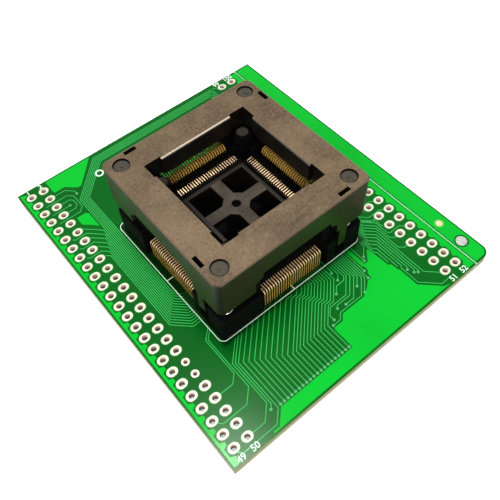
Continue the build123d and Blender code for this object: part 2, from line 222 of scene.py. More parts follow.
class AdapterSocketSettings(bpy.types.PropertyGroup):
    """Colours and grain of the socket's plastics and metals."""

    # Painted sheen: the cover's top is given paler tones than its walls, standing in for the lamp's sheen on
    # dark plastic
    cover_sheen_colour: pick_colour("Cover", "Blasted brown-grey top of the cover", 0.085, 0.056, 0.029)
    # Paler tone of the top's patches, and the painted highlight along the cover's outer top edges
    cover_light_and_edge_highlight: pick_colour("Cover, light", "Paler patches and rubbed edges of the cover",
                             0.2, 0.137, 0.077)
    # Painted highlight on the lip's bevel round the opening
    lip_highlight_colour: pick_colour("Cover, lip", "Polished bevel of the lip round the opening", 0.95, 0.78, 0.6)
    # The cover's own dark plastic on its outer walls, darkened further as painted shade
    cover_side: pick_colour("Cover, sides", "Smooth dark plastic of the cover's walls", 0.02, 0.009, 0.005)
    cover_recess: pick_colour("Cover, marks", "Smooth floors of the round marks", 0.062, 0.053, 0.037)
    # Painted shade: nearly black for the walls inside the cover
    cover_inside_shade: pick_colour("Cover, inside", "Nearly black plastic inside the cover", 0.006, 0.005, 0.004)
    base_colour: pick_colour("Base", "Black moulded plastic", 0.0025, 0.0025, 0.0025)
    # Grey of the round tops of the base's corner towers
    tower_colour: pick_colour("Tower tops", "Rubbed tops of the base's corner towers", 0.036, 0.032, 0.025)
    seat_colour: pick_colour("Seat", "Dark plastic of the package seat", 0.03, 0.024, 0.017)
    gold_colour: pick_colour("Gold", "Gold plating of the contacts", 1.0, 0.74, 0.44)
    # Painted lit tone of the same gold on the knuckles
    knuckle_lit_colour: pick_colour("Gold, knuckles", "Warmer gold of the contacts' upper bends",
                                1.0, 0.58, 0.13)
    # Painted lit tone of the same gold on the outer bends
    bend_lit_colour: pick_colour("Gold, outer bends", "Rosy gold of the contacts' outer bends", 1.0, 0.66, 0.34)
    # Painted shaded tone of the same gold on the legs, darker still behind the knuckles
    leg_shade_colour: pick_colour("Gold, legs", "Deep gold of the contacts' outer legs", 0.88, 0.5, 0.1)
    # Painted shade on the contacts' faces that look along the row
    side_shade_colour: pick_colour("Gold, sides", "Darker stamped sides of the contacts", 0.06, 0.032, 0.012)
    tin_colour: pick_colour("Tin", "Tinned copper of the pads", 0.84, 0.85, 0.66)
    steel_colour: pick_colour("Steel", "Drawn wire of the springs", 0.62, 0.6, 0.57)
    grain_size: pick_length("Grain", "Size of the moulded grain", 0.28)
    seat_round: pick_length("Seat edge", "Rounding of the seat's moulded edges", 0.06)


class AdapterStageSettings(bpy.types.PropertyGroup):
    """Table, lamps and camera."""

    floor_colour: pick_colour("Floor", "Pale table top", 0.9, 0.9, 0.9)
    key_power: FloatProperty(
        name="Key lamp", description="Power of the lamp over the board's back edge", default=0.75, min=0.0)
    fill_power: FloatProperty(
        name="Fill lamp", description="Power of the lamp at the front left", default=0.6, min=0.0)
    sky_strength: FloatProperty(
        name="Room light", description="Strength of the light from all round", default=0.36, min=0.0)
    lens: FloatProperty(
        name="Lens", description="Focal length of the camera, in mm", default=43.65, min=1.0)
    roll: FloatProperty(
        name="Roll", description="Tilt of the camera about its own axis", subtype="ANGLE",
        default=math.radians(-4.05))


# Modelling helpers

def deselect():
    """Leave edit mode and select nothing."""
    if bpy.context.object and bpy.context.object.mode != "OBJECT":
        bpy.ops.object.mode_set(mode="OBJECT")
    bpy.ops.object.select_all(action="DESELECT")


def start_mesh(name):
    """A new empty mesh object at the origin, in edit mode."""
    deselect()
    bpy.ops.mesh.primitive_plane_add(size=MM)
    piece = bpy.context.object
    piece.name = name
    bpy.ops.object.mode_set(mode="EDIT")
    bpy.ops.mesh.delete(type="VERT")
    return piece


def draw_line(points, height, closed=False):
    """Draw a wire through points in the open mesh, one vertex pulled out after another."""
    bpy.ops.mesh.select_all(action="DESELECT")
    bpy.ops.mesh.primitive_plane_add(size=MM, location=mm(*points[0], height))
    bpy.ops.mesh.merge(type="CENTER")
    for here, there in zip(points, points[1:]):
        step = mm(there[0] - here[0], there[1] - here[1], 0)
        bpy.ops.mesh.extrude_region_move(TRANSFORM_OT_translate={"value": step})
    if closed:
        bpy.ops.mesh.select_linked()
        bpy.ops.mesh.edge_face_add()


def merge_points(distance):
    """Open the active mesh and merge its points that lie closer together than a distance."""
    bpy.ops.object.mode_set(mode="EDIT")
    bpy.ops.mesh.select_all(action="SELECT")
    bpy.ops.mesh.remove_doubles(threshold=distance)


def give_material(mesh, material):
    """Give a mesh one material in place of all it has."""
    mesh.materials.clear()
    mesh.materials.append(material)


def finish_mesh(piece, body, material):
    """Clean the mesh and hang the piece on its body."""
    merge_points(MERGE)
    bpy.ops.mesh.normals_make_consistent(inside=False)
    bpy.ops.object.mode_set(mode="OBJECT")
    give_material(piece.data, material)
    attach(piece, body)
    return piece


def pull_up(height):
    """Pull the open mesh up by a height: wires into walls, flat faces into closed plates."""
    bpy.ops.mesh.select_all(action="SELECT")
    bpy.ops.mesh.extrude_region_move(TRANSFORM_OT_translate={"value": (0, 0, height)})


def widen_wires(piece, width, height):
    """Pull all wires of the mesh up by height and give them an even width with mitred corners."""
    pull_up(height)
    bpy.ops.object.mode_set(mode="OBJECT")
    solidify = piece.modifiers.new("width", "SOLIDIFY")
    solidify.thickness = width
    solidify.offset = 0
    solidify.use_even_offset = True
    bpy.ops.object.modifier_apply(modifier=solidify.name)


def arc(centre, radius, start, end, steps):
    """Points on an arc, from one angle to another in degrees."""
    angles = [math.radians(start + (end - start) * step / steps) for step in range(steps + 1)]
    x, y = centre
    return [(x + radius * math.cos(angle), y + radius * math.sin(angle)) for angle in angles]


def rounded_square(x, y, half, radius):
    points = []
    for turn, (sx, sy) in enumerate(((1, 1), (-1, 1), (-1, -1), (1, -1))):
        centre = (x + sx * (half - radius), y + sy * (half - radius))
        points += arc(centre, radius, 90 * turn, 90 * turn + 90, 6)
    return points


def copy_of(node, name):
    """A free copy of a CAD node, which it stands in for."""
    source = frame["nodes"][node]
    deselect()
    source.select_set(True)
    bpy.context.view_layer.objects.active = source
    bpy.ops.object.duplicate()
    piece = bpy.context.object
    piece.name = name
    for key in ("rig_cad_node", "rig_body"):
        del piece[key]
    piece.parent = None
    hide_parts(node)
    return piece


def finished_copy(node, name, width):
    """A copy of a CAD node with its facets merged and its edges rounded."""
    piece = copy_of(node, name)
    merge_points(MERGE_FACETS)
    bpy.ops.mesh.dissolve_limited(angle_limit=math.radians(1))
    bpy.ops.object.mode_set(mode="OBJECT")
    bevel = piece.modifiers.new("edges", "BEVEL")
    bevel.width = width
    bevel.segments = 2
    bevel.limit_method = "ANGLE"
    bevel.angle_limit = math.radians(30)
    bevel.use_clamp_overlap = True
    bpy.ops.object.modifier_apply(modifier=bevel.name)
    merge_points(MERGE)
    bpy.ops.object.mode_set(mode="OBJECT")
    bpy.ops.object.shade_smooth_by_angle(angle=math.radians(32))
    return piece


# Shader nodes

def add_node(tree, kind, links=None, **values):
    """Add a node; links maps an input's name or number to an output socket or a plain value."""
    node = tree.nodes.new(kind)
    for name, value in values.items():
        setattr(node, name, value)
    for key, value in (links or {}).items():
        if isinstance(value, bpy.types.NodeSocket):
            tree.links.new(value, node.inputs[key])
        else:
            node.inputs[key].default_value = value
    return node


def mix_colours(tree, factor, first, second):
    """Between two colours, by a factor from 0 to 1."""
    return add_node(tree, "ShaderNodeMix", {0: factor, 6: first, 7: second}, data_type="RGBA").outputs[2]


def mix_values(tree, factor, first, second):
    """Between two numbers, by a factor from 0 to 1."""
    return add_node(tree, "ShaderNodeMix", {0: factor, 2: first, 3: second}, data_type="FLOAT").outputs[0]


def number_math(tree, operation, *values):
    return add_node(tree, "ShaderNodeMath", dict(enumerate(values)), operation=operation).outputs[0]


def vector_math(tree, operation, *vectors):
    node = add_node(tree, "ShaderNodeVectorMath", dict(enumerate(vectors)), operation=operation)
    return node.outputs["Value" if operation in ("LENGTH", "DISTANCE") else "Vector"]


def multiply(tree, first, second):
    return number_math(tree, "MULTIPLY", first, second)


def share_left(tree, value):
    return number_math(tree, "SUBTRACT", 1.0, value)


def ramp(tree, value, low, high):
    """Smooth step of a value from low to high."""
    step = add_node(tree, "ShaderNodeMapRange", {"Value": value, "From Min": low, "From Max": high},
                    interpolation_type="SMOOTHSTEP")
    return step.outputs["Result"]


def ramp_mm(tree, value, low, high):
    """Smooth step of a length, between two lengths in millimetres."""
    return ramp(tree, value, low * MM, high * MM)


def part_of(tree, vector, axis):
    """One coordinate of a vector."""
    return add_node(tree, "ShaderNodeSeparateXYZ", {0: vector}).outputs[axis]


def facing(tree, axis):
    """How far a face looks along an axis, from -1 to 1."""
    return part_of(tree, add_node(tree, "ShaderNodeNewGeometry").outputs["Normal"], axis)


def flat_side(tree, limit):
    """1 on faces that lie flat, up or down."""
    return number_math(tree, "GREATER_THAN", number_math(tree, "ABSOLUTE", facing(tree, "Z")), limit)


def away_from_middle(tree, where):
    """How far a place is from the socket's middle, along each of the board's edges."""
    return vector_math(tree, "ABSOLUTE", vector_math(tree, "SUBTRACT", where, mm(SOCKET_X, SOCKET_Y, 0)))


def white_seen(tree):
    """1 where the camera, a mirror or glass looks, 0 for the light that falls on matt things."""
    seen = add_node(tree, "ShaderNodeLightPath").outputs
    rays = number_math(tree, "MAXIMUM", seen["Is Camera Ray"], seen["Is Glossy Ray"])
    return number_math(tree, "MAXIMUM", rays, seen["Is Transmission Ray"])


# Shared shader groups

def new_group(name, inputs, outputs):
    """A shader group with named sockets: {name: (kind, default)} in, {name: kind} out."""
    tree = bpy.data.node_groups.new(name, "ShaderNodeTree")
    for label, (kind, value) in inputs.items():
        socket = tree.interface.new_socket(label, in_out="INPUT", socket_type=kind)
        if value is not None:
            socket.default_value = value
    for label, kind in outputs.items():
        tree.interface.new_socket(label, in_out="OUTPUT", socket_type=kind)
    return tree, tree.nodes.new("NodeGroupInput"), tree.nodes.new("NodeGroupOutput")


def grain_group():
    """Fine moulded grain: a height and a speckle mask."""
    tree, given, put = new_group(
        "moulded grain",
        {"Coordinates": ("NodeSocketVector", None), "Grain Scale": ("NodeSocketFloat", 3500.0),
         "Speckle Threshold": ("NodeSocketFloat", 0.55)},
        {"Height": "NodeSocketFloat", "Speckle": "NodeSocketFloat"})
    fine = add_node(tree, "ShaderNodeTexNoise", {
        "Vector": given.outputs["Coordinates"], "Scale": given.outputs["Grain Scale"],
        "Detail": 3.0, "Roughness": 0.6})
    threshold = given.outputs["Speckle Threshold"]
    speckle = add_node(tree, "ShaderNodeMapRange", {
        "Value": fine.outputs["Fac"], "From Min": threshold,
        "From Max": number_math(tree, "ADD", threshold, 0.14)})
    tree.links.new(fine.outputs["Fac"], put.inputs["Height"])
    tree.links.new(speckle.outputs["Result"], put.inputs["Speckle"])
    return tree


def patches_group():
    """Soft uneven patches, as left by handling and moulding."""
    tree, given, put = new_group(
        "soft patches",
        {"Coordinates": ("NodeSocketVector", None), "Patch Scale": ("NodeSocketFloat", 190.0),
         "Contrast": ("NodeSocketFloat", 0.25)},
        {"Mask": "NodeSocketFloat"})
    broad = add_node(tree, "ShaderNodeTexNoise", {
        "Vector": given.outputs["Coordinates"], "Scale": given.outputs["Patch Scale"],
        "Detail": 4.0, "Roughness": 0.55, "Distortion": 0.4})
    low = number_math(tree, "SUBTRACT", 0.5, given.outputs["Contrast"])
    high = number_math(tree, "ADD", 0.5, given.outputs["Contrast"])
    tree.links.new(ramp(tree, broad.outputs["Fac"], low, high), put.inputs["Mask"])
    return tree


def rim_group():
    """Mask of the outer edge band of a square piece, about its centre, in millimetres."""
    tree, given, put = new_group(
        "square rim",
        {"Coordinates": ("NodeSocketVector", None), "Centre": ("NodeSocketVector", None),
         "Half Width": ("NodeSocketFloat", 15.0), "Band": ("NodeSocketFloat", 0.6)},
        {"Mask": "NodeSocketFloat"})
    in_mm = vector_math(tree, "MULTIPLY", given.outputs["Coordinates"], (1 / MM, 1 / MM, 1 / MM))
    away = vector_math(tree, "ABSOLUTE", vector_math(tree, "SUBTRACT", in_mm, given.outputs["Centre"]))
    farther = number_math(tree, "MAXIMUM", part_of(tree, away, "X"), part_of(tree, away, "Y"))
    start = number_math(tree, "SUBTRACT", given.outputs["Half Width"], given.outputs["Band"])
    tree.links.new(ramp(tree, farther, start, given.outputs["Half Width"]), put.inputs["Mask"])
    return tree


def place_group(tree, name, where, **values):
    """Place a shared group on a material's coordinates; grain_scale=2 sets its input Grain Scale."""
    makers = {"moulded grain": grain_group, "soft patches": patches_group, "square rim": rim_group}
    group = bpy.data.node_groups.get(name) or makers[name]()
    inputs = {key.replace("_", " ").title(): value for key, value in values.items()}
    return add_node(tree, "ShaderNodeGroup", {"Coordinates": where, **inputs}, node_tree=group).outputs


def square_rim(tree, where, half_width, band):
    """Mask outside a square about the socket's middle."""
    return place_group(tree, "square rim", where, centre=(SOCKET_X, SOCKET_Y, 0), half_width=half_width,
                       band=band)["Mask"]


# Finishes

def new_material(name, roughness, metallic=0.0, specular=0.5):
    """A material with a plain Principled shader; gives back its tree, shader and object coordinates."""
    material = bpy.data.materials.new(name)
    material.use_nodes = True
    tree = material.node_tree
    shader = tree.nodes["Principled BSDF"]
    shader.inputs["Roughness"].default_value = roughness
    shader.inputs["Metallic"].default_value = metallic
    shader.inputs["Specular IOR Level"].default_value = specular
    where = add_node(tree, "ShaderNodeTexCoord").outputs["Object"]
    return material, tree, shader, where


def finish_so_far(material):
    """A material's tree, shader, object coordinates and colour, for a finish that builds on it."""
    tree = material.node_tree
    shader = tree.nodes["Principled BSDF"]
    where = next(node for node in tree.nodes if node.type == "TEX_COORD").outputs["Object"]
    return tree, shader, where, shader.inputs["Base Color"].links[0].from_socket


def add_bump(tree, shader, height, strength, distance):
    bump = add_node(tree, "ShaderNodeBump", {
        "Height": height, "Strength": strength, "Distance": distance * MM})
    tree.links.new(bump.outputs["Normal"], shader.inputs["Normal"])


def rough_range(tree, shader, mask, low, high):
    spread = add_node(tree, "ShaderNodeMapRange", {"Value": mask, "To Min": low, "To Max": high})
    tree.links.new(spread.outputs["Result"], shader.inputs["Roughness"])


def rgba(colour, share=1.0):
    """A colour as a shader takes it, made darker by a share below 1 and paler by one above."""
    return (*shade(colour, share), 1.0)


def shade(colour, share):
    return tuple(value * share for value in colour)


def paint(node, material):
    """Give a CAD node its material."""
    give_material(frame["nodes"][node].data, material)


def plastic(name, colour, light, grain_size, roughness, specular):
    """Moulded plastic with a fine grain, speckles and soft patches."""
    material, tree, shader, where = new_material(name, roughness, specular=specular)
    grain = place_group(tree, "moulded grain", where, grain_scale=1 / grain_size)
    patches = place_group(tree, "soft patches", where)
    tint = mix_colours(tree, patches["Mask"], rgba(colour), rgba(light))
    speckled = mix_colours(tree, grain["Speckle"], tint, rgba(colour, 0.72))
    tree.links.new(speckled, shader.inputs["Base Color"])
    rough_range(tree, shader, patches["Mask"], roughness - 0.08, roughness + 0.08)
    add_bump(tree, shader, grain["Height"], 0.5, 0.02)
    return material


def seat_plastic(settings):
    """Dark mottled plastic, darker outside the square round the seat's windows, with painted shade on faces
    below its top.
    """
    colour = settings.seat_colour
    material = plastic("seat_plastic", colour, shade(colour, 2.6), settings.grain_size, 0.5, 0.2)
    tree, shader, where, body = finish_so_far(material)
    rim = square_rim(tree, where, SEAT_WINDOWS, 0.2)
    below = ramp_mm(tree, part_of(tree, where, "Z"), SEAT_TOP - 0.1, SEAT_TOP - 0.3)
    # Darker outside the windows' square, and painted shade on the faces below the seat's top
    dark_rim_and_shade = number_math(tree, "MAXIMUM", multiply(tree, rim, 0.75), below)
    tree.links.new(mix_colours(tree, dark_rim_and_shade, body, rgba(colour, 0.25)), shader.inputs["Base Color"])
    return material


def base_plastic(settings):
    """Black plastic, greyer on the round tops of the corner towers."""
    colour = settings.base_colour
    material = plastic("base_plastic", colour, shade(colour, 1.6), settings.grain_size, 0.55, 0.03)
    tree, shader, where, black = finish_so_far(material)
    on_tower = ramp_mm(tree, part_of(tree, where, "Z"), TOWER_TOP - 0.25, TOWER_TOP - 0.05)
    from_tower = vector_math(tree, "SUBTRACT", away_from_middle(tree, where),
                             mm(TOWER_AWAY, TOWER_AWAY, TOWER_TOP))
    near_tower = ramp_mm(tree, vector_math(tree, "LENGTH", from_tower), TOWER_SPOT_RADIUS,
                         TOWER_SPOT_RADIUS - 0.15)
    # The round tops of the corner towers are made greyer than the rest of the base
    worn = mix_colours(tree, multiply(tree, on_tower, near_tower), black, rgba(settings.tower_colour))
    tree.links.new(worn, shader.inputs["Base Color"])
    return material


def cover_plastic(settings):
    """The cover: blasted top made paler than the walls by painted sheen, with painted highlights on its
    outer edges and lip; dark walls, and painted shade making the inside nearly black.
    """
    material, tree, shader, where = new_material("cover_plastic", 0.5, specular=0.25)
    grain = place_group(tree, "moulded grain", where, grain_scale=1 / settings.grain_size,
                        speckle_threshold=0.5)
    mottle = place_group(tree, "moulded grain", where, grain_scale=0.55 / settings.grain_size,
                         speckle_threshold=0.47)
    height = part_of(tree, where, "Z")
    upward = facing(tree, "Z")
    rim = square_rim(tree, where, COVER_HALF, 0.5)
    off_lip = square_rim(tree, where, LIP_HALF, 0.2)
    among_marks = multiply(tree, off_lip, share_left(tree, rim))
    near_top = mix_values(tree, among_marks, ramp_mm(tree, height, COVER_TOP - 0.38, COVER_TOP - 0.14),
                          ramp_mm(tree, height, COVER_TOP - 0.09, COVER_TOP - 0.03))
    # Painted sheen: the top faces take the paler top tones, the rest the dark wall tones
    is_top = multiply(tree, near_top, ramp(tree, upward, 0.15, 0.6))
    slanted = multiply(tree, ramp(tree, upward, 0.3, 0.5), ramp(tree, upward, 0.95, 0.85))
    on_lip = multiply(tree, multiply(tree, slanted, share_left(tree, off_lip)), near_top)
    # Painted highlight on the lip's bevel: full on faces that look toward the front, dim on the rest
    lip_highlight = mix_colours(tree, ramp(tree, facing(tree, "Y"), -0.2, -0.5), rgba(settings.lip_highlight_colour, 0.2),
                           rgba(settings.lip_highlight_colour))
    top = mix_colours(tree, on_lip, blasted_top_with_sheen(tree, settings, where, rim, grain, mottle), lip_highlight)
    walls = cover_walls(tree, settings, where, height, upward, mottle)
    tree.links.new(mix_colours(tree, is_top, walls, top), shader.inputs["Base Color"])
    rough_range(tree, shader, is_top, 0.32, 0.52)
    add_bump(tree, shader, grain["Height"], 0.5, 0.03)
    return material


def blasted_top_with_sheen(tree, settings, where, rim, grain, mottle):
    """Uneven brown-grey of the cover's top, made paler than the walls as painted sheen, with dark and pale
    grain and a painted highlight along its outer edges.
    """
    dark, light = settings.cover_sheen_colour, settings.cover_light_and_edge_highlight
    patches = place_group(tree, "soft patches", where, patch_scale=120.0)
    tone = mix_colours(tree, patches["Mask"], rgba(dark), rgba(light))
    tone = mix_colours(tree, multiply(tree, grain["Speckle"], 0.45), tone, rgba(dark, 0.35))
    tone = mix_colours(tree, multiply(tree, mottle["Speckle"], 0.25), tone, rgba(light, 1.4))
    # Painted highlight: a paler band along the cover's outer top edges
    return mix_colours(tree, multiply(tree, rim, 0.5), tone, rgba(light))


def cover_walls(tree, settings, where, height, upward, mottle):
    """Dark walls outside, painted shade making the inside walls nearly black, and the round marks' floors,
    darker than the top, with painted shade in their groove.
    """
    recess = settings.cover_recess
    outside = square_rim(tree, where, COVER_HALF - 0.05, 0.1)
    # Painted shade: inside walls nearly black, outer walls dark
    walls = mix_colours(tree, outside, rgba(settings.cover_inside_shade), rgba(settings.cover_side))
    floors = mix_colours(tree, multiply(tree, mottle["Speckle"], 0.6), rgba(recess), rgba(recess, 0.5))
    # Painted shade in the groove at the bottom of the round marks
    groove_shade = ramp_mm(tree, height, COVER_TOP - 0.3, COVER_TOP - 0.37)
    floors = mix_colours(tree, groove_shade, floors, rgba(recess, 0.2))
    return mix_colours(tree, ramp(tree, upward, 0.7, 0.95), walls, floors)


def coated(name, colour, other, roughness=0.13):
    """Solder mask: glossy lacquer, faintly clouded and peeled, with painted shade where the socket covers
    it.
    """
    material, tree, shader, where = new_material(name, roughness, specular=0.1)
    clouds = place_group(tree, "soft patches", where, patch_scale=60.0, contrast=0.35)
    tint = mix_colours(tree, clouds["Mask"], rgba(colour), rgba(other))
    above = ramp_mm(tree, part_of(tree, where, "Z"), BOARD_TOP - 1.2, BOARD_TOP - 0.4)
    # Painted shade: the mask is darkened under and round the socket, where the socket keeps the light off
    shaded = multiply(tree, above, share_left(tree, square_rim(tree, where, COVER_SHADE_HALF, 1.1)))
    tree.links.new(mix_colours(tree, shaded, tint, rgba(colour, 0.22)), shader.inputs["Base Color"])
    peel = place_group(tree, "moulded grain", where, grain_scale=900.0)
    add_bump(tree, shader, peel["Height"], 0.25, 0.012)
    return material


def board_laminate(settings):
    """Solder mask on the board's two faces, bare glass weave on its sawn edges, and painted light on the
    tooling hole's wall.
    """
    material = coated("board_laminate", settings.mask_colour, shade(settings.mask_colour, 1.5))
    tree, shader, where, masked = finish_so_far(material)
    weave = add_node(tree, "ShaderNodeTexWave", {"Vector": where, "Scale": 900.0, "Distortion": 1.5},
                     bands_direction="Z")
    sawn = mix_colours(tree, weave.outputs["Fac"], rgba(settings.laminate_colour, 0.75),
                       rgba(settings.laminate_colour))
    beside = number_math(tree, "SUBTRACT", part_of(tree, where, "X"), SCORE_X * MM)
    in_score = number_math(tree, "LESS_THAN", number_math(tree, "ABSOLUTE", beside), SCORE_HALF * MM)
    edge = mix_colours(tree, in_score, sawn, rgba(settings.score_colour))
    from_hole = vector_math(tree, "DISTANCE", where, mm(*RAIL_HOLE, BOARD_TOP - 0.8))
    # Painted light: the tooling hole's wall is near white, like the lit table seen through it
    edge = mix_colours(tree, ramp_mm(tree, from_hole, 1.6, 1.4), edge, rgba(RAIL_HOLE_PAINTED_LIGHT))
    is_face = flat_side(tree, 0.95)
    tree.links.new(mix_colours(tree, is_face, edge, masked), shader.inputs["Base Color"])
    rough_range(tree, shader, is_face, 0.7, 0.2)
    return material


def metal(name, colour, roughness, metallic=1.0, patch_scale=700.0):
    """Plated or drawn metal with faint uneven patches."""
    material, tree, shader, where = new_material(name, roughness, metallic)
    patches = place_group(tree, "soft patches", where, patch_scale=patch_scale)
    tint = mix_colours(tree, patches["Mask"], rgba(colour, 0.88), rgba(colour))
    tree.links.new(tint, shader.inputs["Base Color"])
    rough_range(tree, shader, patches["Mask"], roughness * 0.8, roughness * 1.25)
    grain = place_group(tree, "moulded grain", where, grain_scale=2500.0)
    add_bump(tree, shader, grain["Height"], 0.2, 0.006)
    return material


def pad_metal(settings):
    """Bright tin on the pads, greener at their coated edges, copper-tinted hole walls, paler at the mouth,
    and painted shade deep in the holes.
    """
    material = metal("tinned_copper", settings.tin_colour, 0.5, metallic=0.15)
    tree, shader, where, tin = finish_so_far(material)
    on_edge = ramp(tree, from_pad_middle(tree, where), PAD_END_RADIUS - 0.12, PAD_END_RADIUS - 0.04)
    top = mix_colours(tree, on_edge, tin, rgba(PAD_EDGE))
    height = part_of(tree, where, "Z")
    mouth = ramp_mm(tree, height, BOARD_TOP - 0.5, BOARD_TOP)
    wall = mix_colours(tree, mouth, rgba(HOLE_WALL), rgba(HOLE_MOUTH))
    # Painted shade: the hole's wall darkens deep in the hole
    deep = ramp_mm(tree, height, BOARD_TOP - 0.55, BOARD_TOP - 1.0)
    wall = mix_colours(tree, deep, wall, rgba(HOLE_SHADE))
    tree.links.new(mix_colours(tree, flat_side(tree, 0.5), wall, top), shader.inputs["Base Color"])
    return material


def from_pad_middle(tree, where):
    """How far a place is from the straight middle line of its own pad, in millimetres."""
    first = mm(LEFT_OUTER - HALF_PITCH, HEADER_BACK - HALF_PITCH, 0)
    per_pitch = 1 / (HEADER_PITCH * MM)
    counted = vector_math(tree, "MULTIPLY", vector_math(tree, "SUBTRACT", where, first),
                          (per_pitch, per_pitch, per_pitch))
    in_step = vector_math(tree, "FRACTION", counted)
    away = vector_math(tree, "ABSOLUTE", vector_math(tree, "SUBTRACT", in_step, (0.5, 0.5, 0)))
    straight = (PAD_HALF_LENGTH - PAD_END_RADIUS) / HEADER_PITCH
    past = vector_math(tree, "MAXIMUM", vector_math(tree, "SUBTRACT", away, (straight, 0, 0)), (0, 0, 0))
    level = vector_math(tree, "MULTIPLY", past, (HEADER_PITCH, HEADER_PITCH, 0))
    return vector_math(tree, "LENGTH", level)


def gold_plate(name, settings, across):
    """Gold of the contacts: plain gold on the tips, and painted lit and shaded tones of the same plating
    elsewhere: a warm lit tone on the knuckles, a rosy lit tone on the outer bends, a deep shaded tone on the
    legs, and painted shade behind the knuckles and on the faces that look along the row.
    """
    material = metal(name, settings.gold_colour, 0.3, patch_scale=1500.0)
    tree, shader, where, tip = finish_so_far(material)
    height = part_of(tree, where, "Z")
    away = away_from_middle(tree, where)
    distance = number_math(tree, "MAXIMUM", part_of(tree, away, "X"), part_of(tree, away, "Y"))
    on_knuckle = ramp_mm(tree, distance, KNUCKLE_START, KNUCKLE_START + 0.6)
    high = ramp_mm(tree, height, BEND_TOP, BEND_TOP + 0.5)
    on_leg = ramp_mm(tree, height, LEG_TOP, LEG_TOP - 0.6)
    # Painted shade on the arms behind the knuckles, under the cover
    shade_behind_knuckles = ramp_mm(tree, distance, KNUCKLE_END, KNUCKLE_END + 0.8)
    knuckle = mix_colours(tree, shade_behind_knuckles, rgba(settings.knuckle_lit_colour), rgba(settings.leg_shade_colour, 0.3))
    upper = mix_colours(tree, on_knuckle, tip, knuckle)
    lower = mix_colours(tree, on_leg, rgba(settings.bend_lit_colour), rgba(settings.leg_shade_colour))
    plated = mix_colours(tree, high, lower, upper)
    sideways = number_math(tree, "ABSOLUTE", facing(tree, across))
    on_side = number_math(tree, "GREATER_THAN", sideways, 0.7)
    # Painted shade on the faces that look along the row, half as strong on the knuckles
    stamped = multiply(tree, on_side, mix_values(tree, multiply(tree, on_knuckle, high), 1.0, 0.5))
    tree.links.new(mix_colours(tree, stamped, plated, rgba(settings.side_shade_colour)),
                   shader.inputs["Base Color"])
    on_tip = multiply(tree, high, share_left(tree, on_knuckle))
    tree.links.new(mix_values(tree, on_tip, 0.3, 1.0), shader.inputs["Metallic"])
    return material


def ink(settings):
    """White screen print, thin in places."""
    material, tree, shader, where = new_material("print_ink", 0.6)
    grain = place_group(tree, "moulded grain", where, grain_scale=6000.0, speckle_threshold=0.62)
    worn = mix_colours(tree, grain["Speckle"], rgba(settings.ink_colour), rgba(WORN_INK))
    tree.links.new(worn, shader.inputs["Base Color"])
    add_bump(tree, shader, grain["Height"], 0.3, 0.01)
    return material


# Tracks of the board, as points in millimetres

VIA_ROW_Y = BOARD_LOW[1] + 3.1
FAN_FIRST_X = -16.85
FAN_STEP = 0.75
FAN_COUNT = 20
FAN_STRAIGHT = 7
FAN_KNEE_LOW = -24.9
FAN_KNEE_HIGH = -20.9
FAN_KNEE_STEP = 0.45
FAN_LAST_TAIL_X = 4.2
TAIL_STEP = 0.5
FRONT_TO_HEADER = 5
JOG_LENGTH = 1.15
JOG_FIRST_Y = -16.93
JOG_STEP = 0.447
WEST_FIRST_X = -21.85
WEST_STEP = 0.33
WEST_COUNT = 13
WEST_TO_PADS = 7
WEST_LOW_Y = -10.8
WEST_KNEE_Y = -8.1
WEST_KNEE_STEP = 0.36
WEST_FIRST_PAD_ROW = 8
WEST_FAN_X = -22.6
BACK_RUN_Y = 31.7
BACK_RUN_SHIFT = 43.85
BACK_RUN_SHIFT_STEP = 0.47
BACK_RUN_END_X = 17.7
BACK_RUN_END_STEP = 0.35
EAST_ABOVE_X = 13.1
EAST_ABOVE_STEP = 0.33
EAST_START_STEP = 0.4
EAST_KNEE_X = 14.05
EAST_KNEE_Y = -19.7
EAST_KNEE_SLOPE = 1.03
EAST_LAST_ROW = 18
EAST_TO_PADS = 16
EAST_FIRST_BESIDE = 7
UNDER_COVER_EAST = -14.6
UNDER_COVER_BACK = 14.0
EAST_BESIDE = 3.2
OUTER_TRACK_UP = 0.9
BACK_SIDE_COUNT = 9
BACK_SIDE_REACH = 6.0
BACK_KNEE_Y = 16.5
BACK_KNEE_STEP = 0.25
BACK_VIA_LEFT = -7.4
BACK_VIA_RIGHT = 14.8
BACK_VIA_STEP = 0.62
BACK_VIA_Y = 25.8
BACK_VIA_STAGGER = 0.8
BACK_POUR_Y = 18.2


def fan_tracks():
    """Tracks from the row of vias up to the front of the socket, the later ones with a sideways jog."""
    tracks = []
    for index in range(FAN_COUNT):
        x = FAN_FIRST_X + FAN_STEP * index
        knee = max(FAN_KNEE_LOW, FAN_KNEE_HIGH - FAN_KNEE_STEP * index)
        if index < FAN_STRAIGHT:
            end = (x + UNDER_BASE_FRONT - knee, UNDER_BASE_FRONT)
            tracks.append([(x, VIA_ROW_Y), (x, knee), end])
            continue
        jog = index - FAN_STRAIGHT
        jog_y = JOG_FIRST_Y - JOG_STEP * jog
        left = x + jog_y - knee
        right = left + JOG_LENGTH
        up_x = FAN_LAST_TAIL_X - TAIL_STEP * (FAN_COUNT - 1 - index)
        turn = jog_y + up_x - right
        points = [(x, VIA_ROW_Y), (x, knee), (left, jog_y), (right, jog_y)]
        if turn < UNDER_BASE_FRONT:
            points += [(up_x, turn), (up_x, UNDER_BASE_FRONT)]
        else:
            points.append((right + UNDER_BASE_FRONT - jog_y, UNDER_BASE_FRONT))
        tracks.append(points)
    return tracks


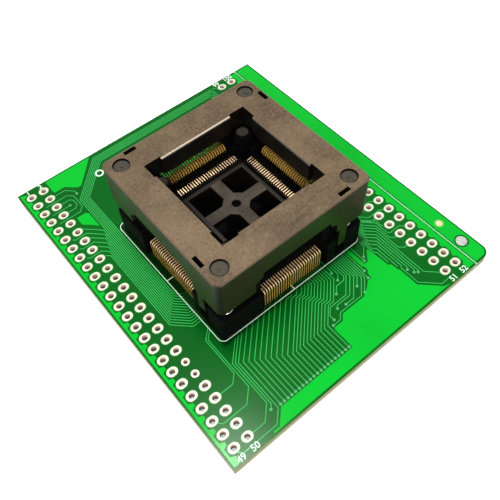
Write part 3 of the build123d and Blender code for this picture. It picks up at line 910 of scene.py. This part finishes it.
def front_tracks():
    """Tracks of the socket's front side: first those toward the left header, then those to single vias."""
    top = UNDER_BASE_FRONT
    pad_edge = LEFT_INNER + PAD_HALF_LENGTH
    outer_edge = LEFT_OUTER + PAD_HALF_LENGTH
    return [
        [(-15.2, -16.9), (-18.3, -20.0), (-18.3, -28.2), (-20.4, -30.3), (pad_edge, -30.3)],
        [(-14.5, -16.8), (-17.9, -20.2), (-17.9, -28.8), (-18.5, -29.4)],
        [(-13.8, -16.8), (-17.5, -20.5), (-17.5, -29.9), (-19.3, -31.7), (-25.6, -31.7), (-26.2, -31.1)],
        [(-17.2, -12.3), (-19.1, -14.2), (-19.1, -21.4), (-20.35, -22.65), (pad_edge, -22.65)],
        [(-17.2, -12.8), (-18.75, -14.35), (-18.75, -24.5), (-20.75, -26.5), (outer_edge, -26.5),
         (-25.8, -25.9)],
        [(4.9, top), (4.9, -17.95), (4.65, -18.2)],
        [(5.4, top), (5.4, -18.95), (4.5, -19.85)],
        [(5.85, top), (5.85, -19.9), (5.25, -20.5), (3.6, -20.5), (2.5, -21.6)],
        [(6.3, top), (6.3, -20.0), (3.55, -22.75), (0.0, -22.75), (-1.1, -23.85), (-1.1, -24.8)],
        [(6.7, top), (6.7, -20.5), (4.0, -23.2), (1.2, -23.2), (0.75, -23.65)],
        [(7.1, top), (7.1, -21.0), (4.1, -24.0), (2.35, -24.0)],
        [(7.5, top), (7.5, -21.4), (6.15, -22.75)],
        [(7.9, top), (7.9, -22.0), (5.4, -24.5), (0.6, -24.5), (-0.35, -25.45), (-1.9, -25.45)],
        [(8.3, top), (8.3, -22.35), (6.25, -24.4)],
        [(8.7, top), (8.7, -22.85)],
        [(9.2, top), (9.2, -21.45)],
        [(10.65, top), (10.65, -20.0)],
        [(12.75, top), (12.75, -17.8), (11.15, -19.4)],
    ]


def west_tracks():
    """The bundle along the socket's left side, from the tails to the left header and the back edge."""
    tracks = []
    for index in range(WEST_COUNT):
        x = WEST_FIRST_X + WEST_STEP * index
        low_end = WEST_LOW_Y + TAIL_STEP * index
        knee = WEST_KNEE_Y + WEST_KNEE_STEP * index
        points = [(UNDER_BASE_LEFT, low_end), (x + knee - low_end, low_end), (x, knee)]
        if index < WEST_TO_PADS:
            target = HEADER_BACK - HEADER_PITCH * WEST_FIRST_PAD_ROW + HALF_PITCH * index
            points += [(x, target - (x - WEST_FAN_X)), (WEST_FAN_X, target)]
            if index % 2:
                points += [(-24.9, target), (-25.3, target + 0.4)]
        else:
            inner = index - WEST_TO_PADS
            shift = BACK_RUN_SHIFT - BACK_RUN_SHIFT_STEP * inner
            run = BACK_RUN_Y - WEST_STEP * inner
            points += [(x, x + shift), (run - shift, run)]
            points += back_run(inner, run)
        tracks.append(points)
    return tracks


def back_run(index, run):
    """Where a track goes on along the back edge and down to the right header."""
    if index == 0:
        return [(BACK_RUN_END_X, run), (BACK_RUN_END_X + 0.9, run - 0.9)]
    down_x = BACK_RUN_END_X - BACK_RUN_END_STEP * index
    pad_y = HEADER_BACK - HEADER_PITCH * index
    return [(down_x - 0.4, run), (down_x, run - 0.4), (down_x, pad_y + 0.4), (down_x + 0.4, pad_y),
            (RIGHT_INNER - PAD_HALF_LENGTH, pad_y)]


def hairpin_tracks():
    """Loops and short runs from pads of the left header near its back end."""
    edge = LEFT_INNER + PAD_HALF_LENGTH
    outer = LEFT_OUTER + PAD_HALF_LENGTH
    return [
        [(edge, 23.1), (-21.1, 23.1), (-20.5, 23.7), (-20.5, 25.0), (-21.1, 25.6), (edge, 25.6)],
        [(outer, 21.8), (-20.9, 21.8), (-19.95, 22.75), (-19.95, 25.9), (-20.9, 26.85), (outer, 26.85)],
        [(outer, 24.35), (-21.6, 24.35)],
        [(edge, 28.2), (-20.6, 28.2), (-19.2, 26.8), (-19.2, 26.0)],
    ]


def east_tracks():
    """Tracks from the socket's right side down to the right header and its vias."""
    pad = RIGHT_INNER - PAD_HALF_LENGTH
    tails = (
        (13.5, [(13.5, -22.9)]),
        (14.05, [(14.05, -24.5)]),
        (14.65, [(14.65, -24.8), (14.3, -25.15), (14.3, -28.8), (17.1, -31.6), (18.7, -31.6)]),
        (15.15, [(15.15, -25.7), (14.85, -26.0)]),
        (15.65, [(15.65, -26.75), (15.3, -27.1)]),
        (16.1, [(16.1, -27.25), (15.85, -27.5)]),
        (16.6, [(16.6, -28.0), (18.5, -29.9)]),
        (17.05, [(17.05, -21.8), (17.85, -22.6), (pad, -22.6)]),
        (17.45, [(17.45, -19.4), (18.15, -20.1), (pad, -20.1)]),
        (17.9, [(17.9, -18.45), (18.3, -18.85), (20.6, -18.85), (21.2, -19.45)]),
        (18.2, [(18.2, -16.75), (18.45, -17.0)]),
    )
    tracks = []
    for index, (x, tail) in enumerate(tails):
        knee = EAST_KNEE_Y + EAST_KNEE_SLOPE * (x - EAST_KNEE_X)
        above = EAST_ABOVE_X + EAST_ABOVE_STEP * index
        shift = x - above
        start = (above, UNDER_COVER_EAST + EAST_START_STEP * index)
        tracks.append([start, (above, knee + shift), (x, knee)] + tail)
    near = RIGHT_INNER - 2.0
    for row in range(EAST_LAST_ROW - EAST_TO_PADS + 1, EAST_LAST_ROW + 1):
        pad_y = HEADER_BACK - HEADER_PITCH * row
        to_inner = [(near, pad_y), (pad, pad_y)]
        outer_y = pad_y + OUTER_TRACK_UP
        to_outer = [(near + 0.4, outer_y), (RIGHT_INNER + OUTER_TRACK_UP, outer_y),
                    (RIGHT_OUTER - 0.6, pad_y + 0.3)]
        for points in (to_inner, to_outer):
            x, y = points[0]
            rise = UNDER_COVER_BACK - y if row < EAST_FIRST_BESIDE else EAST_BESIDE
            tracks.append([(x - abs(rise), y + rise)] + points)
    return tracks


def back_tracks():
    """Tracks of the socket's back side, up to two staggered rows of vias and to the copper between them."""
    tracks = []
    for index in range(BACK_SIDE_COUNT):
        knee = BACK_KNEE_Y + BACK_KNEE_STEP * index
        via_y = BACK_VIA_Y - BACK_VIA_STAGGER * (index % 2)
        tail = BACK_SIDE_REACH - TAIL_STEP * index
        for way, first_via in ((-1, BACK_VIA_LEFT), (1, BACK_VIA_RIGHT)):
            x = SOCKET_X + way * tail
            via_x = first_via - way * BACK_VIA_STEP * index
            turn = (via_x, knee + way * (via_x - x))
            tracks.append([(x, UNDER_BASE_BACK), (x, knee), turn, (via_x, via_y)])
    for x in (SOCKET_X - TAIL_STEP, SOCKET_X, SOCKET_X + TAIL_STEP):
        tracks.append([(x, UNDER_BASE_BACK), (x, BACK_POUR_Y)])
    return tracks


def scallops(edge, bulge):
    """Edge of a pour beside a column of pads: at edge by every pad, and out to bulge between them."""
    points = []
    for row in range(HEADER_ROWS):
        y = HEADER_BACK - HEADER_PITCH * row
        offsets = ((bulge, HALF_PITCH), (bulge, 1.0), (edge, 0.7), (edge, -0.7), (bulge, -1.0))
        points += [(x, y + offset) for x, offset in offsets]
    return points


def pour_outlines():
    """Outlines of the broad copper areas on the top face."""
    left, right = BOARD_LOW[0] + 0.3, SCORE_X - 0.32
    low, high = BOARD_LOW[1] + 0.38, BOARD_HIGH[1] - 0.35
    rail_left, rail_right = SCORE_X + 0.33, BOARD_HIGH[0] - 0.3
    left_strip = [(left, high)] + scallops(-27.45, -26.75) + [(-26.75, low), (left, low)]
    right_strip = [(right, high)] + scallops(23.2, 22.75) + [(22.75, low), (right, low)]
    front = [
        (-20.4, low), (-20.4, -32.15), (-19.15, -32.15), (-17.1, -30.1), (-2.2, -30.1), (-2.2, -26.1),
        (-1.9, -25.85), (-0.2, -25.85), (0.75, -24.9), (5.6, -24.9), (7.4, -23.9), (8.2, -23.2),
        (9.15, -23.2), (9.25, -22.2), (9.7, -21.8), (9.85, -21.0), (9.55, -20.5), (9.55, -16.7),
        (10.2, -16.7), (10.2, -20.5), (11.0, -20.5), (12.5, -18.7), (12.85, -18.7), (12.95, -20.8),
        (13.1, -23.3), (13.55, -23.5), (13.65, -24.9), (13.85, -25.2), (13.85, -29.0), (17.0, -32.15),
        (18.2, low),
    ]
    back_left = [
        (-22.4, high), (-22.4, 29.0), (-20.2, 29.0), (-18.3, 27.2), (-17.5, 27.2), (-12.6, high),
    ]
    back_middle = [(-1.6, 27.4), (-1.6, 20.5), (0.9, 18.0), (2.6, 18.0), (6.4, 21.8), (6.4, 27.4)]
    left_island = [(-22.2, 20.9), (-20.4, 20.9), (-19.9, 20.4), (-19.9, 16.7), (-22.2, 19.0)]
    corner = 1.4
    rail = [(rail_left, high), (rail_left, low), (rail_right - corner, low)]
    rail += arc((rail_right - corner, low + corner), corner, -90, 0, 5)[1:] + [(rail_right, high)]
    return [left_strip, right_strip, front, back_left, back_middle, left_island, rail]


def underside_tracks():
    """Tracks of the lower face, from the row of vias to the right header."""
    tracks = []
    for index in range(FAN_COUNT):
        x = FAN_FIRST_X + FAN_STEP * index
        row = HEADER_ROWS - 1 - index // 2
        y = max(VIA_ROW_Y, HEADER_BACK - HEADER_PITCH * row - HALF_PITCH * (index % 2))
        shift = min(1.0, y - VIA_ROW_Y)
        tracks.append([(x, VIA_ROW_Y), (x, y - shift), (x + shift, y), (RIGHT_INNER - PAD_HALF_LENGTH, y)])
    return tracks


class ADAPTER_OT_board(bpy.types.Operator):
    """Finish the laminate, the header pads and the fiducial"""

    bl_idname = "adapter.board"
    bl_label = "Board and pads"

    def execute(self, context):
        board = context.scene.adapter_board
        socket = context.scene.adapter_socket
        tin = pad_metal(socket)
        paint("circuit_board", board_laminate(board))
        for node in ("left_outer", "left_inner", "right_inner", "right_outer"):
            paint("header_pads_" + node, tin)
        paint("fiducial_dot", metal("fiducial_tin", FIDUCIAL_TIN, 0.5, 0.15))
        self.bare_fiducial(board)
        plain_tin = metal("tail_tin", socket.tin_colour, 0.45, 0.3)
        for side in SIDES:
            paint("tail_pads_" + side, plain_tin)
        return {"FINISHED"}

    def bare_fiducial(self, board):
        """The round window in the solder mask about the fiducial."""
        window = start_mesh("fiducial_window")
        bpy.ops.mesh.primitive_circle_add(vertices=32, radius=FIDUCIAL_WINDOW * MM, fill_type="NGON",
                                          location=mm(*FIDUCIAL, BOARD_TOP - SUNK))
        pull_up(2 * SUNK * MM)
        bare = coated("bare_laminate", board.bare_colour, shade(board.bare_colour, 0.9), 0.5)
        finish_mesh(window, ROOT, bare)


class ADAPTER_OT_tracks(bpy.types.Operator):
    """Lay the narrow tracks on both faces of the board"""

    bl_idname = "adapter.tracks"
    bl_label = "Tracks and vias"

    def execute(self, context):
        board = context.scene.adapter_board
        coat = coated("coated_tracks", board.track_colour, shade(board.track_colour, 1.25))
        routes = fan_tracks() + front_tracks() + west_tracks()
        routes += hairpin_tracks() + east_tracks() + back_tracks()
        height = board.copper_height + SUNK * MM
        self.lay_tracks("board_tracks", routes, BOARD_TOP - SUNK, board.track_width, height, coat)
        self.lay_tracks("underside_tracks", underside_tracks(), BOARD_BOTTOM + SUNK, board.track_width,
                        -height, coat)
        self.lay_vias(board)
        return {"FINISHED"}

    def lay_tracks(self, name, routes, level, width, height, coat):
        """One piece of coated tracks, from a level up, or down where the height is negative."""
        tracks = start_mesh(name)
        for points in routes:
            draw_line(points, level)
        widen_wires(tracks, width, height)
        finish_mesh(tracks, ROOT, coat)

    def lay_vias(self, board):
        """The small coated domes where a track goes through the board."""
        places = [(FAN_FIRST_X + FAN_STEP * index, VIA_ROW_Y) for index in range(FAN_COUNT)]
        ending = front_tracks()[FRONT_TO_HEADER:] + back_tracks()[:2 * BACK_SIDE_COUNT]
        places += [points[-1] for points in ending]
        places += [(-18.5, -29.4), (14.85, -26.0), (15.3, -27.1), (15.85, -27.5), (-19.2, 26.0),
                   (-21.6, 24.35)]
        vias = start_mesh("coated_vias")
        for x, y in places:
            bpy.ops.mesh.select_all(action="DESELECT")
            bpy.ops.mesh.primitive_circle_add(vertices=16, radius=VIA_RADIUS * MM, fill_type="NGON",
                                              location=mm(x, y, BOARD_TOP - SUNK))
            bpy.ops.mesh.extrude_region_move(TRANSFORM_OT_translate={"value": mm(0, 0, VIA_RISE)})
            for inset, rise in ((VIA_SHOULDER, VIA_CROWN), (VIA_RING, -VIA_DIP)):
                bpy.ops.mesh.inset(thickness=inset * MM)
                bpy.ops.transform.translate(value=mm(0, 0, rise))
        bpy.ops.object.mode_set(mode="OBJECT")
        ring = coated("coated_vias", board.via_colour, shade(board.via_colour, 0.8))
        finish_mesh(vias, ROOT, ring)


class ADAPTER_OT_pours(bpy.types.Operator):
    """Lay the broad copper areas under the solder mask"""

    bl_idname = "adapter.pours"
    bl_label = "Copper areas"

    def execute(self, context):
        board = context.scene.adapter_board
        coat = coated("coated_pours", board.pour_colour, shade(board.pour_colour, 0.82))
        pours = start_mesh("board_pours")
        for points in pour_outlines():
            draw_line(points, BOARD_TOP - SUNK, closed=True)
        pull_up(board.copper_height + SUNK * MM)
        finish_mesh(pours, ROOT, coat)
        for place, radius in CLEARANCES:
            self.clear_round(pours, place, radius)
        return {"FINISHED"}

    def clear_round(self, pours, place, radius):
        """Cut a round clearance out of the copper."""
        deselect()
        bpy.ops.mesh.primitive_cylinder_add(
            vertices=32, radius=radius * MM, depth=MM, location=mm(*place, BOARD_TOP))
        cutter = bpy.context.object
        bpy.ops.object.transform_apply(location=True, rotation=True, scale=True)
        deselect()
        pours.select_set(True)
        bpy.context.view_layer.objects.active = pours
        cut = pours.modifiers.new("clearance", "BOOLEAN")
        cut.operation = "DIFFERENCE"
        cut.object = cutter
        bpy.ops.object.modifier_apply(modifier=cut.name)
        bpy.data.objects.remove(cutter)


class ADAPTER_OT_print(bpy.types.Operator):
    """Print the socket's outline, the pin-one ring and the pin numbers"""

    bl_idname = "adapter.board_print"
    bl_label = "Board print"

    def execute(self, context):
        board = context.scene.adapter_board
        white = ink(board)
        lines = start_mesh("printed_lines")
        outline = rounded_square(PRINT_X, PRINT_Y, PRINT_HALF, PRINT_CORNER)
        draw_line(outline + outline[:1], PRINT_LEVEL)
        for x, y in ((-1, 0), (1, 0), (0, -1), (0, 1)):
            ends = (PRINT_HALF - 0.1, PRINT_HALF - TICK_LENGTH)
            draw_line([(PRINT_X + end * x, PRINT_Y + end * y) for end in ends], PRINT_LEVEL)
        widen_wires(lines, board.ink_width, PRINT_HEIGHT * MM)
        finish_mesh(lines, ROOT, white)
        ring = start_mesh("pin_one_ring")
        draw_line(arc(PIN_ONE, PIN_ONE_RADIUS, 0, 360, 20), PRINT_LEVEL)
        widen_wires(ring, PIN_ONE_LINE * MM, PRINT_HEIGHT * MM)
        finish_mesh(ring, ROOT, white)
        low, high = BOARD_LOW[1] + 0.3, BOARD_HIGH[1] - 0.12 - board.numeral_height / MM
        for text, x, y in (
            ("1", LEFT_OUTER, high), ("2", LEFT_INNER, high), ("49", LEFT_OUTER, low),
            ("50", LEFT_INNER, low), ("51", RIGHT_INNER, low), ("52", RIGHT_OUTER, low),
            ("99", RIGHT_INNER - 0.5, high), ("100", RIGHT_OUTER, high),
        ):
            self.print_number(text, x, y, board.numeral_height, white)
        return {"FINISHED"}

    def print_number(self, text, x, y, height, white):
        """A plain pin number beside its pad."""
        deselect()
        bpy.ops.object.text_add(location=mm(x, y, NUMBER_LEVEL))
        words = bpy.context.object
        words.data.body = text
        words.data.align_x = "CENTER"
        words.data.size = height * NUMBER_SCALE
        words.data.offset = NUMBER_WEIGHT * MM
        words.data.extrude = NUMBER_DEPTH * MM
        words.data.resolution_u = 3
        bpy.ops.object.convert(target="MESH")
        number = bpy.context.object
        number.name = "pin_number_" + text
        bpy.ops.object.transform_apply(location=True, rotation=True, scale=True)
        finish_mesh(number, ROOT, white)


class ADAPTER_OT_cover(bpy.types.Operator):
    """Give the cover its blasted top with painted sheen and highlights, and its dark walls with painted
    shade
    """

    bl_idname = "adapter.cover"
    bl_label = "Socket cover"

    def execute(self, context):
        paint("socket_cover", cover_plastic(context.scene.adapter_socket))
        return {"FINISHED"}


class ADAPTER_OT_base(bpy.types.Operator):
    """Finish the base, the tail locator plate and the package seat"""

    bl_idname = "adapter.base"
    bl_label = "Base and seat"

    def execute(self, context):
        settings = context.scene.adapter_socket
        black = base_plastic(settings)
        paint("socket_base", black)
        paint("tail_locator_plate", black)
        seat = finished_copy("package_seat", "dressed_seat", settings.seat_round)
        give_material(seat.data, seat_plastic(settings))
        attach(seat, ROOT)
        return {"FINISHED"}


class ADAPTER_OT_contacts(bpy.types.Operator):
    """Plate the contacts and finish the springs and solder joints"""

    bl_idname = "adapter.contacts"
    bl_label = "Contacts, springs and solder"

    def execute(self, context):
        settings = context.scene.adapter_socket
        gold = {"X": gold_plate("gold_plate_front_back", settings, "X"),
                "Y": gold_plate("gold_plate_left_right", settings, "Y")}
        solder = metal("solder", SOLDER, 0.3)
        steel = metal("spring_steel", settings.steel_colour, 0.22)
        for side in SIDES:
            plate = gold["X" if side in ("front", "back") else "Y"]
            paint("fixed_contacts_" + side, plate)
            paint("contact_arms_" + side, plate)
            paint("solder_joints_" + side, solder)
        for corner in CORNERS:
            self.seat_spring("cover_spring_" + corner, steel)
        return {"FINISHED"}

    def seat_spring(self, node, steel):
        """A spring that stands on the base, copied with its steel finish and its own mesh."""
        spring = copy_of(node, "dressed_" + node)
        give_material(spring.data, steel)
        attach(spring, ROOT)
        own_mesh(spring)


class ADAPTER_OT_stage(bpy.types.Operator):
    """Set the table, the lamps and the camera"""

    bl_idname = "adapter.stage"
    bl_label = "Stage"

    def execute(self, context):
        settings = context.scene.adapter_stage
        self.lay_floor(settings)
        self.hang_lamp("key_lamp", settings.key_power, **KEY_LAMP)
        self.hang_lamp("fill_lamp", settings.fill_power, **FILL_LAMP)
        self.light_room(context, settings)
        self.set_camera(context, settings)
        context.scene.view_settings.view_transform = "Standard"
        return {"FINISHED"}

    def lay_floor(self, settings):
        """A matt table that glows a little, and more toward the horizon."""
        deselect()
        bpy.ops.mesh.primitive_plane_add(size=TABLE_SIZE)
        floor = bpy.context.object
        floor.name = "floor"
        material, tree, shader, where = new_material("table_top", 0.9, specular=0.1)
        shader.inputs["Base Color"].default_value = rgba(settings.floor_colour)
        distance = vector_math(tree, "LENGTH", where)
        glow = mix_values(tree, ramp(tree, distance, TABLE_NEAR, TABLE_FAR), TABLE_GLOW_NEAR, TABLE_GLOW_FAR)
        shader.inputs["Emission Color"].default_value = WHITE
        tree.links.new(multiply(tree, white_seen(tree), glow), shader.inputs["Emission Strength"])
        floor.data.materials.append(material)

    def hang_lamp(self, name, power, place, target, size):
        deselect()
        bpy.ops.object.light_add(type="AREA", location=place)
        lamp = bpy.context.object
        lamp.name = name
        lamp.data.shape = "RECTANGLE"
        lamp.data.size, lamp.data.size_y = size
        lamp.data.energy = power
        lamp.rotation_euler = (Vector(target) - Vector(place)).to_track_quat("-Z", "Y").to_euler()

    def light_room(self, context, settings):
        """A plain pale room, white where the camera or a mirror looks at it."""
        world = bpy.data.worlds.new("pale_room")
        world.use_nodes = True
        tree = world.node_tree
        ground = tree.nodes["Background"]
        ground.inputs["Color"].default_value = WHITE
        upward = part_of(tree, add_node(tree, "ShaderNodeTexCoord").outputs["Generated"], "Z")
        overhead = add_node(tree, "ShaderNodeMapRange", {
            "Value": upward, "To Min": 0.25 * settings.sky_strength, "To Max": 1.35 * settings.sky_strength})
        strength = add_node(tree, "ShaderNodeMapRange", {
            "Value": white_seen(tree), "To Min": overhead.outputs["Result"], "To Max": 1.0})
        tree.links.new(strength.outputs["Result"], ground.inputs["Strength"])
        context.scene.world = world

    def set_camera(self, context, settings):
        """The photograph's point of view, from high over the board's front left corner."""
        eye = mm(*CAMERA_EYE)
        target = mm(*CAMERA_TARGET)
        deselect()
        bpy.ops.object.camera_add(location=eye)
        camera = bpy.context.object
        camera.name = "camera"
        camera.data.lens = settings.lens
        camera.data.sensor_width = SENSOR_WIDTH
        camera.data.clip_start = CLIP_START * MM
        aim = (target - eye).to_track_quat("-Z", "Y").to_matrix().to_4x4()
        turn = Matrix.Rotation(settings.roll, 4, "Z")
        camera.matrix_world = Matrix.Translation(eye) @ aim @ turn
        context.scene.camera = camera


OPERATORS = (
    ADAPTER_OT_board, ADAPTER_OT_tracks, ADAPTER_OT_pours, ADAPTER_OT_print, ADAPTER_OT_cover,
    ADAPTER_OT_base, ADAPTER_OT_contacts, ADAPTER_OT_stage,
)


class ADAPTER_PT_panel(bpy.types.Panel):
    """Lists the steps that dress the adapter"""

    bl_label = "Socket adapter"
    bl_idname = "ADAPTER_PT_panel"
    bl_space_type = "VIEW_3D"
    bl_region_type = "UI"
    bl_category = "Adapter"

    def draw(self, context):
        for operator in OPERATORS:
            self.layout.operator(operator.bl_idname)


CLASSES = (AdapterBoardSettings, AdapterSocketSettings, AdapterStageSettings, *OPERATORS, ADAPTER_PT_panel)


def register():
    for item in CLASSES:
        bpy.utils.register_class(item)
    bpy.types.Scene.adapter_board = PointerProperty(type=AdapterBoardSettings)
    bpy.types.Scene.adapter_socket = PointerProperty(type=AdapterSocketSettings)
    bpy.types.Scene.adapter_stage = PointerProperty(type=AdapterStageSettings)


def unregister():
    del bpy.types.Scene.adapter_stage
    del bpy.types.Scene.adapter_socket
    del bpy.types.Scene.adapter_board
    for item in reversed(CLASSES):
        bpy.utils.unregister_class(item)


def main():
    register()
    bpy.ops.adapter.board()
    bpy.ops.adapter.tracks()
    bpy.ops.adapter.pours()
    bpy.ops.adapter.board_print()
    bpy.ops.adapter.cover()
    bpy.ops.adapter.base()
    bpy.ops.adapter.contacts()
    bpy.ops.adapter.stage()


if __name__ == "__main__":
    main()
